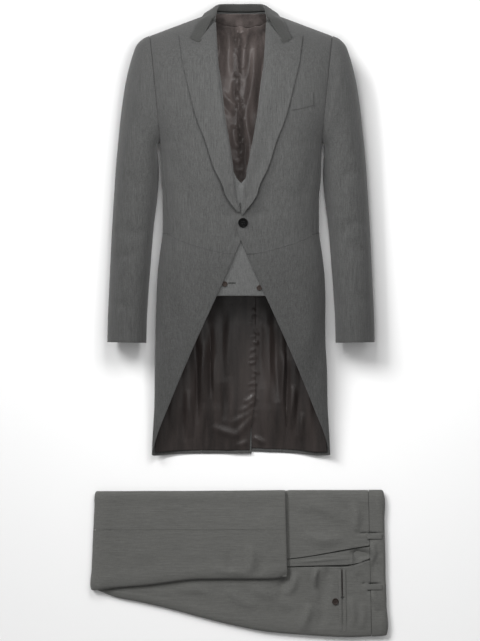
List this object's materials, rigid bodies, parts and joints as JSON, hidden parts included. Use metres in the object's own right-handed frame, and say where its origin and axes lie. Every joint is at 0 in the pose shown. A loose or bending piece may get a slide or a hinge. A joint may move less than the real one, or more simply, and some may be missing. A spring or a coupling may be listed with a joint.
{
  "type": "morning suit",
  "caption": "Grey wool tailcoat, cut away in front, filled out over its waistcoat, with the matching trousers laid folded below it.",
  "frame": {"origin": "middle of the suit's box, on the surface it lies on", "axes": "+Y from the trousers up to the coat's collar, +Z away from the surface, out of the coat's front, +X to the wearer's left"},
  "size_m": [0.6678, 1.4254, 0.2027],
  "materials": {
    "coat_wool": "matt worsted wool, mid grey melange with fine lengthwise slubs",
    "collar_wool": "matt worsted wool, a shade darker than the body",
    "waistcoat_wool": "matt worsted wool, a shade paler than the coat",
    "trouser_wool": "matt worsted wool, warm grey melange with fine lengthwise slubs",
    "brown_satin": "smooth satin with a soft sheen",
    "black_horn": "polished black",
    "brown_horn": "polished brown"
  },
  "bodies": {
    "root": {"coat_back_l": "coat_wool", "coat_back_r": "coat_wool", "coat_button": "black_horn", "coat_chest_welt": "coat_wool", "coat_collar": "collar_wool", "coat_forepart_l": "coat_wool", "coat_forepart_r": "coat_wool", "coat_lapel_l": "coat_wool", "coat_lapel_r": "coat_wool", "coat_lining_l": "brown_satin", "coat_lining_r": "brown_satin", "coat_side_body_l": "coat_wool", "coat_side_body_r": "coat_wool", "coat_skirt_l": "coat_wool", "coat_skirt_r": "coat_wool", "coat_top_sleeve_l": "coat_wool", "coat_top_sleeve_r": "coat_wool", "coat_under_sleeve_l": "coat_wool", "coat_under_sleeve_r": "coat_wool", "trousers_back_l": "trouser_wool", "trousers_back_pocket_1": "trouser_wool", "trousers_back_pocket_2": "trouser_wool", "trousers_back_r": "trouser_wool", "trousers_belt_loop_1": "trouser_wool", "trousers_belt_loop_2": "trouser_wool", "trousers_front_l": "trouser_wool", "trousers_front_r": "trouser_wool", "trousers_layers": "trouser_wool", "trousers_pocket_button": "brown_horn", "trousers_side_pocket": "trouser_wool", "trousers_waistband": "trouser_wool", "waistcoat_back": "brown_satin", "waistcoat_button_1": "brown_horn", "waistcoat_button_2": "brown_horn", "waistcoat_front_l": "waistcoat_wool", "waistcoat_front_r": "waistcoat_wool"}
  },
  "joints": []
}
